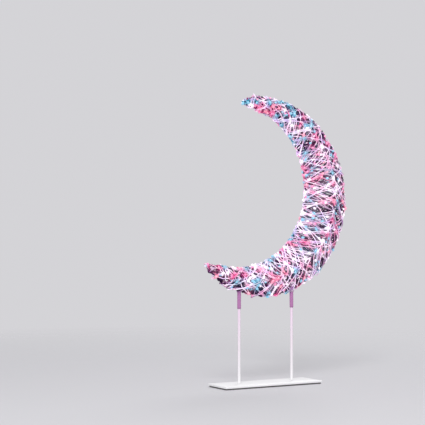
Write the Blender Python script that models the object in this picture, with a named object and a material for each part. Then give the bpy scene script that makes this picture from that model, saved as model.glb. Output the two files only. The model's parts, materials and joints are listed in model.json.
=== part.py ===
"""Lighted crescent moon on a stand.

A crescent cage of four long wires and diamond ribs carries two wound light strings. Two sleeves under
the cage drop over two posts, which are screwed to a flat plate. Metres, +Z up. The table is z = 0 and the
plate's middle is x = y = 0. The viewer looks along +Y.
"""

import math

import bmesh
import bpy
from mathutils import Matrix, Vector

# Clearances
SEAT_GAP = 0.0003
RUNNING_GAP = 0.0003

# Base plate and pad
PLATE_WIDTH = 0.177
PLATE_DEPTH = 0.055
PLATE_THICKNESS = 0.003
PLATE_CORNER = 0.002
PLATE_EDGE = 0.0005
PAD_THICKNESS = 0.0018
PAD_INSET = 0.0015

# Posts and their screws
POST_DIAMETER = 0.0042
POST_LENGTH = 0.1400
POST_SPACING = 0.0972
POST_EDGE = 0.0004
SCREW_DIAMETER = 0.0022
SCREW_GRIP = 0.010
SCREW_HEAD_DIAMETER = 0.0046
SCREW_HEAD_HEIGHT = 0.0012
SCREW_HEAD_FACE_SHARE = 0.75
SCREW_HEAD_EDGE_SHARE = 0.4
SCREW_RECESS_WIDTH = 0.0007
SCREW_RECESS_SPAN = 0.0028
SCREW_RECESS_DEPTH = 0.0006

# Crescent
OUTER_RADIUS = 0.150
INNER_RADIUS = 0.1314
CENTRE_DISTANCE = 0.0524
BULGE_TILT = math.radians(-15.7)
MOON_SHIFT = -0.0016
MOON_DEPTH = 0.048
CAGE_WIRE = 0.003
RIB_WIRE = 0.0025
RIB_COUNT = 8
RIB_CORNER = 0.003
CORNER_BEND_SHARE = 1 / 6
LONG_WIRE_STEP_COUNT = 56
TIP_END_RADIUS = 0.0016
TIP_FACE_SHARE = 0.7

# Sleeves that drop over the posts
SOCKET_WALL = 0.0005
SOCKET_GRIP = 0.0255
SOCKET_CAP = 0.006

# Light strings
STRING_DIAMETER = 0.0010
LIGHT_DIAMETER = 0.0021
FIRST_LIGHT_COUNT = 4
LIGHT_EVERY_COUNT = 3
STRING_LEAD_OUT = 0.0026
LAYER_GAP = 0.0007
POINTS_PER_LOOP = 24
WOUND_FROM_SHARE = 0.032
WOUND_TO_SHARE = 0.968
FIRST_START_LOOPS = 0.79
SECOND_START_LOOPS = 0.68
LOOPS_OVER_LEFT_POST = -1.5
LOOPS_BACK_OVER_LEFT_POST = -4.5
LOOPS_TO_LOWER_TIP = 1.25
LOOPS_AT_LOWER_TIP = 0.25
LOOPS_BETWEEN_POSTS = 3
LOOPS_UP_OUTER = 10
LOOPS_UP_INNER = 10.6

# Lead joint behind the right sleeve, as seen from the front left
JOINT_ANGLE = math.radians(34)
JOINT_DIAMETER = 0.0060
JOINT_LENGTH = 0.022
JOINT_DROP = 0.0045
JOINT_EDGE = 0.0008
LEAD_BORE = 0.0034
LEAD_BORE_DEPTH = 0.009
STRING_SPREAD = 0.0026
TIE_WIDTH = 0.0025
TIE_THICKNESS = 0.0009
TIE_HEAD_THICKNESS = 0.0026
TIE_HEAD_WIDTH = 0.0036
TIE_DROP = 0.0012

# Heights of what stands on what
PLATE_BOTTOM = PAD_THICKNESS + SEAT_GAP
PLATE_TOP = PLATE_BOTTOM + PLATE_THICKNESS
POST_BOTTOM = PLATE_TOP + SEAT_GAP
POST_TOP = POST_BOTTOM + POST_LENGTH
SOCKET_FLOOR = POST_TOP + SEAT_GAP
SOCKET_BOTTOM = POST_TOP - SOCKET_GRIP
SOCKET_RADIUS = POST_DIAMETER / 2 + RUNNING_GAP + SOCKET_WALL
POST_PLACES = {"left": -POST_SPACING / 2, "right": POST_SPACING / 2}


def rim_drop(x):
    """How far the outer rim lies below its own centre at this x."""
    return math.sqrt(OUTER_RADIUS**2 - (x - MOON_SHIFT) ** 2)


# The rim rests on the caps of both sleeves, and the lower crossing sets the height.
MOON_HEIGHT = SOCKET_FLOOR + SOCKET_CAP + max(rim_drop(x) for x in POST_PLACES.values())

# Distances of the wound layers from the middle of a cage wire
INNER_LAYER = CAGE_WIRE / 2 + SEAT_GAP + LIGHT_DIAMETER / 2
OUTER_LAYER = INNER_LAYER + LIGHT_DIAMETER + LAYER_GAP


def clear_scene():
    for obj in list(bpy.data.objects):
        bpy.data.objects.remove(obj, do_unlink=True)


def material(name, colour, roughness, metallic=0.0):
    made = bpy.data.materials.new(name)
    made.use_nodes = True
    shader = made.node_tree.nodes["Principled BSDF"]
    shader.inputs["Base Color"].default_value = (*colour, 1.0)
    shader.inputs["Roughness"].default_value = roughness
    shader.inputs["Metallic"].default_value = metallic
    return made


def white_paint(name):
    return material(name, (0.90, 0.90, 0.92), 0.42)


def add_mesh(name, bm, surface, smooth_angle=math.radians(35)):
    """Puts a finished bmesh in the scene under its name, shaded smooth with its edges kept."""
    bmesh.ops.recalc_face_normals(bm, faces=bm.faces)
    mesh = bpy.data.meshes.new(name)
    bm.to_mesh(mesh)
    bm.free()
    mesh.shade_smooth()
    mesh.set_sharp_from_angle(angle=smooth_angle)
    mesh.materials.append(surface)
    obj = bpy.data.objects.new(name, mesh)
    bpy.context.scene.collection.objects.link(obj)
    return obj


def turned(name, profile, place, surface, steps=24):
    """A solid of revolution about the upright line through place, from (radius, height) pairs."""
    bm = bmesh.new()
    rim = [bm.verts.new((radius, 0.0, height)) for radius, height in profile]
    edges = [bm.edges.new(pair) for pair in zip(rim, rim[1:])]
    bmesh.ops.spin(bm, geom=rim + edges, cent=(0, 0, 0), axis=(0, 0, 1), angle=math.tau, steps=steps)
    bmesh.ops.remove_doubles(bm, verts=bm.verts, dist=1e-7)
    obj = add_mesh(name, bm, surface)
    obj.location = place
    return obj


def tube(name, points, diameter, surface, closed=False, bevel_resolution=2, radii=None):
    """A round wire along points. Each entry of radii scales the wire at its point."""
    curve = bpy.data.curves.new(name, "CURVE")
    curve.dimensions = "3D"
    curve.bevel_depth = diameter / 2
    curve.bevel_resolution = bevel_resolution
    curve.use_fill_caps = not closed
    curve.render_resolution_u = 0
    spline = curve.splines.new("POLY")
    spline.points.add(len(points) - 1)
    spline.use_cyclic_u = closed
    spline.use_smooth = True
    for index, point in enumerate(points):
        spline.points[index].co = (*point, 1.0)
        spline.points[index].radius = radii[index] if radii else 1.0
    curve.materials.append(surface)
    obj = bpy.data.objects.new(name, curve)
    bpy.context.scene.collection.objects.link(obj)
    return obj


def cut(target, cutter):
    cutter.hide_render = True
    cutter.display_type = "WIRE"
    change = target.modifiers.new(f"cut by {cutter.name}", "BOOLEAN")
    change.operation = "DIFFERENCE"
    change.solver = "EXACT"
    change.object = cutter


def round_cutter(name, diameter, bottom, top, place):
    radius = diameter / 2
    profile = [(0, bottom), (radius, bottom), (radius, top), (0, top)]
    return turned(name, profile, place, white_paint(name))


def rounded_plate(name, width, depth, bottom, thickness, corner, edge, surface):
    """A flat plate with round corners and slightly broken edges."""
    bm = bmesh.new()
    bmesh.ops.create_cube(bm, size=1.0)
    bmesh.ops.scale(bm, vec=(width, depth, thickness), verts=bm.verts)
    bmesh.ops.translate(bm, vec=(0, 0, bottom + thickness / 2), verts=bm.verts)
    upright = [e for e in bm.edges if abs(e.verts[0].co.z - e.verts[1].co.z) > thickness / 2]
    bmesh.ops.bevel(bm, geom=upright, offset=corner, segments=4, profile=0.5, affect="EDGES")
    if edge:
        flat = [f for f in bm.faces if abs(f.normal.z) > 0.9]
        around = {e for f in flat for e in f.edges}
        bmesh.ops.bevel(bm, geom=list(around), offset=edge, segments=2, profile=0.5, affect="EDGES")
    return add_mesh(name, bm, surface)


def build_base():
    plate = rounded_plate(
        "base_plate", PLATE_WIDTH, PLATE_DEPTH, PLATE_BOTTOM, PLATE_THICKNESS, PLATE_CORNER, PLATE_EDGE,
        white_paint("plate_paint"),
    )
    pad = rounded_plate(
        "base_pad", PLATE_WIDTH - 2 * PAD_INSET, PLATE_DEPTH - 2 * PAD_INSET, 0.0, PAD_THICKNESS,
        PLATE_CORNER, 0.0, material("pad_foam", (0.03, 0.03, 0.035), 0.9),
    )
    for side, x in POST_PLACES.items():
        hole = SCREW_DIAMETER + 2 * RUNNING_GAP
        place = (x, 0, 0)
        over = PLATE_THICKNESS
        cut(plate, round_cutter(f"{side}_plate_hole", hole, PLATE_BOTTOM - over, PLATE_TOP + over, place))
        opening = SCREW_HEAD_DIAMETER + 4 * RUNNING_GAP
        cut(pad, round_cutter(f"{side}_pad_hole", opening, -over, PAD_THICKNESS + over, place))


def build_posts():
    for side, x in POST_PLACES.items():
        radius = POST_DIAMETER / 2
        bore = SCREW_DIAMETER / 2 + RUNNING_GAP
        bore_top = POST_BOTTOM + SCREW_GRIP + SEAT_GAP
        profile = [
            (0, bore_top),
            (bore, bore_top),
            (bore, POST_BOTTOM),
            (radius, POST_BOTTOM),
            (radius, POST_TOP - POST_EDGE),
            (radius - POST_EDGE, POST_TOP),
            (0, POST_TOP),
        ]
        turned(f"{side}_post", profile, (x, 0, 0), white_paint(f"{side}_post_paint"))
        build_post_screw(side, x)


def build_post_screw(side, x):
    """A pan head screw from below, its head against the plate and a cross cut in it."""
    head_top = PLATE_BOTTOM - SEAT_GAP
    head_bottom = head_top - SCREW_HEAD_HEIGHT
    radius = SCREW_HEAD_DIAMETER / 2
    shank = SCREW_DIAMETER / 2
    profile = [
        (0, head_bottom),
        (radius * SCREW_HEAD_FACE_SHARE, head_bottom),
        (radius, head_bottom + SCREW_HEAD_HEIGHT * SCREW_HEAD_EDGE_SHARE),
        (radius, head_top),
        (shank, head_top),
        (shank, POST_BOTTOM + SCREW_GRIP - shank / 2),
        (shank / 2, POST_BOTTOM + SCREW_GRIP),
        (0, POST_BOTTOM + SCREW_GRIP),
    ]
    steel = material(f"{side}_screw_steel", (0.55, 0.56, 0.58), 0.3, 1.0)
    screw = turned(f"{side}_post_screw", profile, (x, 0, 0), steel, steps=16)
    cut(screw, cross_cutter(f"{side}_screw_cross", (x, 0, head_bottom)))


def cross_cutter(name, place):
    """A cross-shaped prism for a screw's drive, half of it above place."""
    arm = SCREW_RECESS_SPAN / 2
    half = SCREW_RECESS_WIDTH / 2
    quarter = [(arm, -half), (arm, half), (half, half)]
    outline = []
    for turn in range(4):
        spin = Matrix.Rotation(turn * math.pi / 2, 2)
        outline += [spin @ Vector(corner) for corner in quarter]
    bm = bmesh.new()
    face = bm.faces.new([bm.verts.new((p.x, p.y, -SCREW_RECESS_DEPTH)) for p in outline])
    wall = bmesh.ops.extrude_face_region(bm, geom=[face])
    raised = [item for item in wall["geom"] if isinstance(item, bmesh.types.BMVert)]
    bmesh.ops.translate(bm, vec=(0, 0, 2 * SCREW_RECESS_DEPTH), verts=raised)
    cutter = add_mesh(name, bm, white_paint(name))
    cutter.location = place
    return cutter


# The crescent is drawn on spokes from one point between the centres of its two circles. The point divides
# the line between them as the radii do, so that a spoke crosses both rims squarely at the tips too.
BULGE = Vector((math.cos(BULGE_TILT), 0, math.sin(BULGE_TILT)))
ACROSS = Vector((-math.sin(BULGE_TILT), 0, math.cos(BULGE_TILT)))
BACKWARD = Vector((0, 1, 0))
OUTER_CENTRE = Vector((MOON_SHIFT, 0, MOON_HEIGHT))
INNER_CENTRE = OUTER_CENTRE - BULGE * CENTRE_DISTANCE
SPOKE_CENTRE = OUTER_CENTRE.lerp(INNER_CENTRE, OUTER_RADIUS / (OUTER_RADIUS + INNER_RADIUS))


def spoke_reach(direction, centre, radius):
    """Distance from the spokes' centre to a circle along a spoke."""
    along = direction.dot(centre - SPOKE_CENTRE)
    return along + math.sqrt(radius**2 - (centre - SPOKE_CENTRE).length_squared + along**2)


def tip_angle():
    """Angle between the bulge and the spoke to a tip, where the two circles meet."""
    tip_along = (INNER_RADIUS**2 - OUTER_RADIUS**2 - CENTRE_DISTANCE**2) / (2 * CENTRE_DISTANCE)
    tip_across = math.sqrt(OUTER_RADIUS**2 - tip_along**2)
    return math.atan2(tip_across, tip_along - (SPOKE_CENTRE - OUTER_CENTRE).dot(BULGE))


TIP_ANGLE = tip_angle()


def section(fraction):
    """Middle, outward direction, half width and half depth of the cage, from lower tip 0 to upper tip 1."""
    angle = TIP_ANGLE * (2 * fraction - 1)
    outward = BULGE * math.cos(angle) + ACROSS * math.sin(angle)
    outer = spoke_reach(outward, OUTER_CENTRE, OUTER_RADIUS)
    inner = spoke_reach(outward, INNER_CENTRE, INNER_RADIUS)
    half_width = (outer - inner) / 2
    middle_width = OUTER_RADIUS + CENTRE_DISTANCE - INNER_RADIUS
    half_depth = half_width * MOON_DEPTH / middle_width
    return SPOKE_CENTRE + outward * (outer + inner) / 2, outward, half_width, half_depth


def fraction_over_post(x):
    """Where along the crescent the outer rim passes over a post."""
    crossing = Vector((x, 0, MOON_HEIGHT - rim_drop(x))) - SPOKE_CENTRE
    angle = math.atan2(crossing.dot(ACROSS), crossing.dot(BULGE))
    return (angle / TIP_ANGLE + 1) / 2


def wire_end():
    """The first fraction at which the four long wires lie clear of each other."""
    fraction = 0.0
    spacing = 0.0
    while spacing < CAGE_WIRE + SEAT_GAP:
        fraction += 0.0005
        _, _, half_width, half_depth = section(fraction)
        spacing = math.hypot(half_width, half_depth)
    return fraction


WIRE_END = wire_end()
LONG_WIRES = {"outer_rim": (1, 0), "inner_rim": (-1, 0), "front_ridge": (0, -1), "back_ridge": (0, 1)}


def build_long_wires():
    """The rims carry the sleeves and tips, so they are drawn rounder than the ridges."""
    for name, (outward_share, depth_share) in LONG_WIRES.items():
        points = []
        for step in range(LONG_WIRE_STEP_COUNT + 1):
            fraction = WIRE_END + (1 - 2 * WIRE_END) * step / LONG_WIRE_STEP_COUNT
            middle, outward, half_width, half_depth = section(fraction)
            sideways = outward * half_width * outward_share
            points.append(middle + sideways + BACKWARD * half_depth * depth_share)
        sides = 2 if outward_share else 1
        tube(name, points, CAGE_WIRE, white_paint(f"{name}_paint"), bevel_resolution=sides)


def diamond_point(turn, half_width, half_depth, corner):
    """A point of a diamond with round corners, one turn around: outer, front, inner and back corner."""
    outer = Vector((half_width, 0))
    back = Vector((0, half_depth))
    corners = [outer, -back, -outer, back]
    quarter, share = divmod(turn * 4 % 4, 1)
    start = corners[int(quarter)]
    end = corners[(int(quarter) + 1) % 4]
    along = (end - start).normalized()
    square = Vector((-along.y, along.x))
    if square.dot(start) < 0:
        square = -square
    bend = CORNER_BEND_SHARE
    if share < bend:
        return start + start.normalized().lerp(square, share / bend).normalized() * corner
    if share > 1 - bend:
        return end + end.normalized().lerp(square, (1 - share) / bend).normalized() * corner
    return start.lerp(end, (share - bend) / (1 - 2 * bend)) + square * corner


def cage_point(fraction, turn, layer):
    """A point on a layer round the cage, in the scene."""
    middle, outward, half_width, half_depth = section(fraction)
    flat = diamond_point(turn, half_width, half_depth, layer)
    return middle + outward * flat.x + BACKWARD * flat.y


def build_ribs():
    """Diamond loops inside the long wires, each corner a seat gap from its wire."""
    inset = CAGE_WIRE / 2 + SEAT_GAP + RIB_WIRE / 2 + RIB_CORNER
    bend = CORNER_BEND_SHARE
    shares = (-bend, -bend / 2, 0, bend / 2, bend)
    turns = [(corner + share) / 4 % 1 for corner in range(4) for share in shares]
    for number in range(1, RIB_COUNT + 1):
        middle, outward, half_width, half_depth = section(number / (RIB_COUNT + 1))
        points = []
        for turn in turns:
            flat = diamond_point(turn, half_width - inset, half_depth - inset, RIB_CORNER)
            points.append(middle + outward * flat.x + BACKWARD * flat.y)
        surface = white_paint(f"rib_{number}_paint")
        tube(f"rib_{number}", points, RIB_WIRE, surface, closed=True, bevel_resolution=1)


def build_tips():
    """Blunt cones that the four long wires are welded to."""
    for name, end, tip in (("lower_tip", WIRE_END, 0.0), ("upper_tip", 1 - WIRE_END, 1.0)):
        middle, outward, half_width, _ = section(end)
        point = section(tip)[0]
        along = point - middle
        along -= outward * along.dot(outward)
        length = along.length
        root = CAGE_WIRE / 4
        radius = half_width + CAGE_WIRE / 2
        profile = [
            (0, root),
            (radius, root),
            (radius, root + CAGE_WIRE / 2),
            (TIP_END_RADIUS, length - TIP_END_RADIUS / 3),
            (TIP_END_RADIUS * TIP_FACE_SHARE, length),
            (0, length),
        ]
        cone = turned(name, profile, middle, white_paint(f"{name}_paint"), steps=16)
        cone.rotation_mode = "QUATERNION"
        cone.rotation_quaternion = Vector((0, 0, 1)).rotation_difference(along)


def build_sockets():
    """Blind sleeves over the posts, each top coped to the wire of the outer rim."""
    bore = POST_DIAMETER / 2 + RUNNING_GAP
    for side, x in POST_PLACES.items():
        top = MOON_HEIGHT - rim_drop(x)
        profile = [
            (0, SOCKET_FLOOR),
            (bore, SOCKET_FLOOR),
            (bore, SOCKET_BOTTOM),
            (SOCKET_RADIUS, SOCKET_BOTTOM),
            (SOCKET_RADIUS, top),
            (0, top),
        ]
        sleeve = turned(f"{side}_socket", profile, (x, 0, 0), white_paint(f"{side}_socket_paint"))
        groove_radius = CAGE_WIRE / 2 + SEAT_GAP
        groove_half = 2 * SOCKET_RADIUS
        groove_profile = [(0, -groove_half), (groove_radius, -groove_half), (groove_radius, groove_half)]
        groove_profile.append((0, groove_half))
        groove = turned(f"{side}_rim_groove", groove_profile, (x, 0, top), white_paint(f"{side}_groove"))
        groove.rotation_mode = "QUATERNION"
        rim_direction = Vector((rim_drop(x), 0, x - MOON_SHIFT))
        groove.rotation_quaternion = Vector((0, 0, 1)).rotation_difference(rim_direction)
        cut(sleeve, groove)


JOINT_TOP = MOON_HEIGHT - rim_drop(POST_PLACES["right"]) - JOINT_DROP
JOINT_REACH = SOCKET_RADIUS + SEAT_GAP + JOINT_DIAMETER / 2
RIGHT_POST = Vector((POST_PLACES["right"], 0, 0))
BEHIND = Vector((math.sin(JOINT_ANGLE), math.cos(JOINT_ANGLE), 0))
BESIDE = Vector((math.cos(JOINT_ANGLE), -math.sin(JOINT_ANGLE), 0))


def build_lead_joint():
    """The moulded joint behind the right sleeve, with the lead's bore open below, and its cable tie."""
    radius = JOINT_DIAMETER / 2
    bottom = JOINT_TOP - JOINT_LENGTH
    bore = LEAD_BORE / 2
    profile = [
        (0, bottom + LEAD_BORE_DEPTH),
        (bore, bottom + LEAD_BORE_DEPTH),
        (bore, bottom),
        (radius - JOINT_EDGE, bottom),
        (radius, bottom + JOINT_EDGE),
        (radius, JOINT_TOP - JOINT_EDGE),
        (radius - JOINT_EDGE, JOINT_TOP),
        (0, JOINT_TOP),
    ]
    place = RIGHT_POST + BEHIND * JOINT_REACH
    turned("lead_joint", profile, place, material("joint_moulding", (0.85, 0.85, 0.86), 0.35))
    build_joint_tie()


def build_joint_tie():
    """A flat strap round the sleeve and the joint, thicker at the back where its head is."""
    inner_ring = []
    outer_ring = []
    arc_steps = 8
    for reach, radius, first in ((0, SOCKET_RADIUS, math.pi), (JOINT_REACH, JOINT_DIAMETER / 2, 0)):
        middle = RIGHT_POST + BEHIND * reach
        for step in range(arc_steps + 1):
            angle = first + math.pi * step / arc_steps
            direction = BESIDE * math.cos(angle) + BEHIND * math.sin(angle)
            at_head = math.sin(angle) > 0 and abs(math.cos(angle)) * radius < TIE_HEAD_WIDTH / 2
            thickness = TIE_HEAD_THICKNESS if at_head else TIE_THICKNESS
            inner_ring.append(middle + direction * (radius + SEAT_GAP))
            outer_ring.append(middle + direction * (radius + SEAT_GAP + thickness))
    top = JOINT_TOP - TIE_DROP
    bottom = top - TIE_WIDTH
    bm = bmesh.new()
    corners = ((inner_ring, bottom), (outer_ring, bottom), (outer_ring, top), (inner_ring, top))
    rings = [[bm.verts.new((p.x, p.y, height)) for p in ring] for ring, height in corners]
    for lower, upper in zip(rings, rings[1:] + rings[:1]):
        for here in range(len(lower)):
            after = (here + 1) % len(lower)
            bm.faces.new((lower[here], lower[after], upper[after], upper[here]))
    add_mesh("lead_joint_tie", bm, material("tie_nylon", (0.88, 0.88, 0.88), 0.5))


def wound_route(start, waypoints):
    """Points and radii of one string: out of the joint, then through (fraction, turns, layer) waypoints."""
    points = [start, start + Vector((0, 0, STRING_LEAD_OUT))]
    for begin, finish in zip(waypoints, waypoints[1:]):
        steps = max(1, round(abs(finish[1] - begin[1]) * POINTS_PER_LOOP))
        for step in range(steps):
            fraction, turn, layer = (a + (b - a) * step / steps for a, b in zip(begin, finish))
            points.append(cage_point(fraction, turn, layer))
    points.append(cage_point(*waypoints[-1]))
    radii = [1.0] * len(points)
    for index in range(FIRST_LIGHT_COUNT, len(radii) - 2, LIGHT_EVERY_COUNT):
        radii[index] = LIGHT_DIAMETER / STRING_DIAMETER
    return points, radii


def least_gap(points, radii, others=None, other_radii=None):
    """Least gap between a string's wire and itself, or another, over points set along both."""
    fine = densify(points, radii)
    rest = densify(others, other_radii) if others else fine
    same_run = 6 * LIGHT_DIAMETER
    least = math.inf
    for index, (place, size, travelled) in enumerate(fine):
        for other_place, other_size, other_travelled in rest if others else rest[index + 1:]:
            if others or abs(travelled - other_travelled) >= same_run:
                least = min(least, (place - other_place).length - size - other_size)
    return least


def densify(points, radii):
    """Places along a route, each with the wire's radius and the length travelled."""
    found = []
    travelled = 0.0
    for here, after, size, next_size in zip(points, points[1:], radii, radii[1:]):
        length = (after - here).length
        steps = max(1, math.ceil(length / STRING_DIAMETER))
        for step in range(steps):
            share = step / steps
            radius = (size + (next_size - size) * share) * STRING_DIAMETER / 2
            found.append((here.lerp(after, share), radius, travelled + length * share))
        travelled += length
    return found


def build_light_strings():
    """Both strings leave the joint. The first winds down to the lower tip and then, over itself, up the
    whole crescent. The second winds straight up, the other way round, so that the two layers cross."""
    left = fraction_over_post(POST_PLACES["left"])
    right = fraction_over_post(POST_PLACES["right"])
    # A half turn over each post puts the wire on the inner rim there, clear of the sleeves.
    at_lower_tip = LOOPS_OVER_LEFT_POST - LOOPS_TO_LOWER_TIP
    back_over_right = LOOPS_BACK_OVER_LEFT_POST - LOOPS_BETWEEN_POSTS
    down_and_up = [
        (right, FIRST_START_LOOPS, INNER_LAYER),
        (left, LOOPS_OVER_LEFT_POST, INNER_LAYER),
        (WOUND_FROM_SHARE, at_lower_tip, INNER_LAYER),
        (WOUND_FROM_SHARE, at_lower_tip - LOOPS_AT_LOWER_TIP, OUTER_LAYER),
        (left, LOOPS_BACK_OVER_LEFT_POST, OUTER_LAYER),
        (right, back_over_right, OUTER_LAYER),
        (WOUND_TO_SHARE, back_over_right - LOOPS_UP_OUTER, OUTER_LAYER),
    ]
    straight_up = [
        (right, SECOND_START_LOOPS, INNER_LAYER),
        (WOUND_TO_SHARE, SECOND_START_LOOPS + LOOPS_UP_INNER, INNER_LAYER),
    ]
    top = RIGHT_POST + BEHIND * JOINT_REACH + Vector((0, 0, JOINT_TOP + SEAT_GAP))
    shift = BESIDE * STRING_SPREAD / 2
    routes = {}
    for name, start, waypoints in (
        ("light_string_1", top - shift, down_and_up),
        ("light_string_2", top + shift, straight_up),
    ):
        points, radii = wound_route(start, waypoints)
        surface = material(f"{name}_wire", (0.90, 0.62, 0.74), 0.4)
        tube(name, points, STRING_DIAMETER, surface, bevel_resolution=1, radii=radii)
        routes[name] = (points, radii)
        print(f"{name}: {len(points)} points, least gap to itself {least_gap(points, radii) * 1000:.2f} mm")
    between = least_gap(*routes["light_string_1"], *routes["light_string_2"])
    print(f"least gap between the strings {between * 1000:.2f} mm")


def hang_on_slide(pieces):
    """The moon's pieces lift straight up off the posts together."""
    slide = bpy.data.objects.new("moon_slide", None)
    slide.location = (0, 0, SOCKET_BOTTOM)
    bpy.context.scene.collection.objects.link(slide)
    bpy.context.view_layer.update()
    for piece in pieces:
        piece.parent = slide
        piece.matrix_parent_inverse = slide.matrix_world.inverted()


def main():
    clear_scene()
    build_base()
    build_posts()
    stand = set(bpy.data.objects)
    build_long_wires()
    build_ribs()
    build_tips()
    build_sockets()
    build_lead_joint()
    build_light_strings()
    hang_on_slide([obj for obj in bpy.data.objects if obj not in stand])


main()
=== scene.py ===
# %% [markdown]
# A lighted crescent moon on a stand.
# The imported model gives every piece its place. This script gives the pieces their finish, and
# replaces the plain wound strings with the full winding of micro wire and its 720 small lights.
# Sizes are in metres. The viewer looks along +Y, +X is to the right, and the table is z = 0.

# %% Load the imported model
import json
import math
import random

import bmesh
import bpy
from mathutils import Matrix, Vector


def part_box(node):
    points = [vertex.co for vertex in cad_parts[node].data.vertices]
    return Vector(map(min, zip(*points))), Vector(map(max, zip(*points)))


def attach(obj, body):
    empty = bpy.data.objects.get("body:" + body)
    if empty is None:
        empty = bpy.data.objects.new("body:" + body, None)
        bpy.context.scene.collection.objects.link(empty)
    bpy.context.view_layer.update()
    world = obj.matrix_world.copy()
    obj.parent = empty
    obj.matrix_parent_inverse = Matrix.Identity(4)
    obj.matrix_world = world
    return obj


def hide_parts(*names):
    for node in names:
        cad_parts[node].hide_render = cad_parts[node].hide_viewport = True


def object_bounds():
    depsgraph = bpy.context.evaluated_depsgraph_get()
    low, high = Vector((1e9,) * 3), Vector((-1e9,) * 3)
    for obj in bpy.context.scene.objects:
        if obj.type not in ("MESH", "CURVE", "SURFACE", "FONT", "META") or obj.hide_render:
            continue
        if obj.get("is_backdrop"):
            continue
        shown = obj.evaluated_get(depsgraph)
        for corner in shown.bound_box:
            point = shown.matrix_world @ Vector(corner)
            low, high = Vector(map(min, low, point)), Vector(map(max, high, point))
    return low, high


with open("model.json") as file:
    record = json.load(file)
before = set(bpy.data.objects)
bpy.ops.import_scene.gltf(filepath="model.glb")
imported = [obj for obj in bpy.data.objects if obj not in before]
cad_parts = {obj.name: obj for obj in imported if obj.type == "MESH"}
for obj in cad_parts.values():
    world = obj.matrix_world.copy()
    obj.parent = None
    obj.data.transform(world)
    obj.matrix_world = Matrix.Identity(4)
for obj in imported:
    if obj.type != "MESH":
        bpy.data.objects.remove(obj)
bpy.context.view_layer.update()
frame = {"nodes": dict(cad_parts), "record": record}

# %% [markdown]
# The crescent lies between two circles. Its wires and winding all follow spokes from one point
# between the circles' centres, which divides the line between them as the radii do. A spoke then
# crosses the crescent squarely everywhere, also at the tips, so one formula places the wires, the
# ribs and every turn of string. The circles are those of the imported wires, and their height comes
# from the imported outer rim.

# %% The crescent's own measures
OUTER_RADIUS = 0.150
INNER_RADIUS = 0.1314
CENTRE_DISTANCE = 0.0524
CENTRE_X = -0.0016
BULGE_TILT = math.radians(-15.7)
MOON_DEPTH = 0.048
CAGE_WIRE = 0.003

_, rim_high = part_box("outer_rim")
OUTER_CENTRE = Vector((CENTRE_X, 0, rim_high.z - CAGE_WIRE / 2 - OUTER_RADIUS))
BULGE = Vector((math.cos(BULGE_TILT), 0, math.sin(BULGE_TILT)))
ACROSS = Vector((-math.sin(BULGE_TILT), 0, math.cos(BULGE_TILT)))
BACKWARD = Vector((0, 1, 0))
INNER_CENTRE = OUTER_CENTRE - BULGE * CENTRE_DISTANCE
SPOKE_CENTRE = OUTER_CENTRE.lerp(INNER_CENTRE, OUTER_RADIUS / (OUTER_RADIUS + INNER_RADIUS))
print("crescent centre height", round(OUTER_CENTRE.z, 4))


# %% Sections of the crescent
def spoke_reach(direction, centre, radius):
    """Distance from the spokes' centre to a circle along a spoke."""
    along = direction.dot(centre - SPOKE_CENTRE)
    return along + math.sqrt(radius**2 - (centre - SPOKE_CENTRE).length_squared + along**2)


def tip_angle():
    """Angle between the bulge and the spoke to a tip, where the two circles meet."""
    tip_along = (INNER_RADIUS**2 - OUTER_RADIUS**2 - CENTRE_DISTANCE**2) / (2 * CENTRE_DISTANCE)
    tip_across = math.sqrt(OUTER_RADIUS**2 - tip_along**2)
    return math.atan2(tip_across, tip_along - (SPOKE_CENTRE - OUTER_CENTRE).dot(BULGE))


TIP_ANGLE = tip_angle()


def section(fraction):
    """Middle, outward direction, half width and half depth of the cage.

    The fraction runs from 0 at the lower tip to 1 at the upper tip.
    """
    angle = TIP_ANGLE * (2 * fraction - 1)
    outward = BULGE * math.cos(angle) + ACROSS * math.sin(angle)
    outer = spoke_reach(outward, OUTER_CENTRE, OUTER_RADIUS)
    inner = spoke_reach(outward, INNER_CENTRE, INNER_RADIUS)
    half_width = (outer - inner) / 2
    half_depth = half_width * MOON_DEPTH / (OUTER_RADIUS + CENTRE_DISTANCE - INNER_RADIUS)
    return SPOKE_CENTRE + outward * (outer + inner) / 2, outward, half_width, half_depth


print("half width at the middle", round(section(0.5)[2], 4))

# %% [markdown]
# A node tree can be typed out link by link, but a sum then fills a page. Here a small class wraps
# a socket, so that a plain Python expression adds the Math nodes, and one method adds any other
# node from its type, its settings and its inputs. Material trees and geometry trees are built with
# the same two classes.

# %% A socket that can be reckoned with
class Signal:
    """A socket in a tree. Sums on it add Math nodes."""

    def __init__(self, graph, socket):
        self.graph = graph
        self.socket = socket

    def maths(self, operation, first, second=0.0):
        return self.graph.node("ShaderNodeMath", {"operation": operation}, {0: first, 1: second})

    def __add__(self, other):
        return self.maths("ADD", self, other)

    __radd__ = __add__

    def __sub__(self, other):
        return self.maths("SUBTRACT", self, other)

    def __rsub__(self, other):
        return self.maths("SUBTRACT", other, self)

    def __mul__(self, other):
        return self.maths("MULTIPLY", self, other)

    __rmul__ = __mul__

    def __truediv__(self, other):
        return self.maths("DIVIDE", self, other)

    def clamped(self):
        """This value held between 0 and 1."""
        return self.graph.node("ShaderNodeClamp", {}, {0: self})

    def output(self, name):
        """Another output of the same node."""
        return Signal(self.graph, self.socket.node.outputs[name])


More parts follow.
